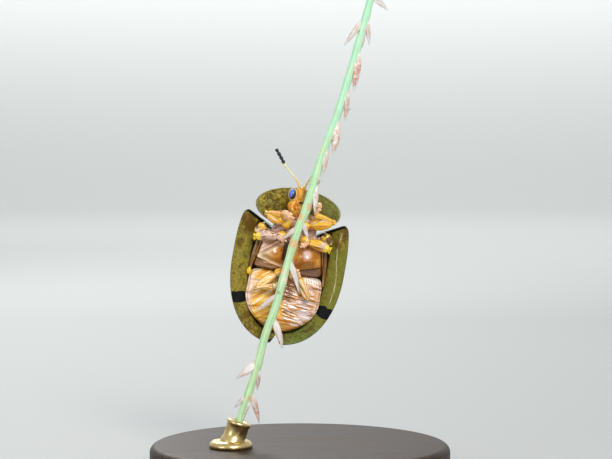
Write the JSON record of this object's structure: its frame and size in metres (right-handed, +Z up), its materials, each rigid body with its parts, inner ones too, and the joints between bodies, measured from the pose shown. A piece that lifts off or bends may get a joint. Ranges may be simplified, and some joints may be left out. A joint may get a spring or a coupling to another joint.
{
  "type": "tortoise beetle",
  "caption": "Life-size tortoise beetle, belly to the front, gripping a cut grass stem with spikelets, on a round display base with a short rod.",
  "frame": {"origin": "middle of the underside of the stand's base", "axes": "+Z up along the grass stem, towards the beetle's head; -Y the way the belly faces; +X to the right of someone who looks at the belly"},
  "size_m": [0.021, 0.021, 0.0336],
  "materials": {
    "wing_case": "glossy olive chitin with brown mottling and black marks",
    "neck_shield": "glossy olive-yellow chitin with a brown network",
    "trunk": "polished amber-brown chitin",
    "belly": "amber chitin rings with cream edges",
    "head": "fine-grained orange chitin",
    "eye": "glossy blue-black eye",
    "antenna": "pale yellow with a black tip",
    "leg": "semi-gloss yellow to orange-brown chitin",
    "stem": "mint-green grass stem with pink-white husks",
    "stand_base": "dark stained wood, satin",
    "stand_rod": "brushed brass"
  },
  "bodies": {
    "root": {"wing_case_left": "wing_case", "wing_case_right": "wing_case", "neck_shield": "neck_shield", "prosternum": "trunk", "thorax": "trunk", "abdomen": "belly", "head": "head", "eye_left": "eye", "eye_right": "eye", "antenna_left": "antenna", "antenna_right": "antenna", "leg_front_left": "leg", "leg_front_right": "leg", "leg_middle_left": "leg", "leg_middle_right": "leg", "leg_hind_left": "leg", "leg_hind_right": "leg", "perch_stem": "stem", "stand_base": "stand_base", "stand_rod": "stand_rod"}
  },
  "joints": []
}
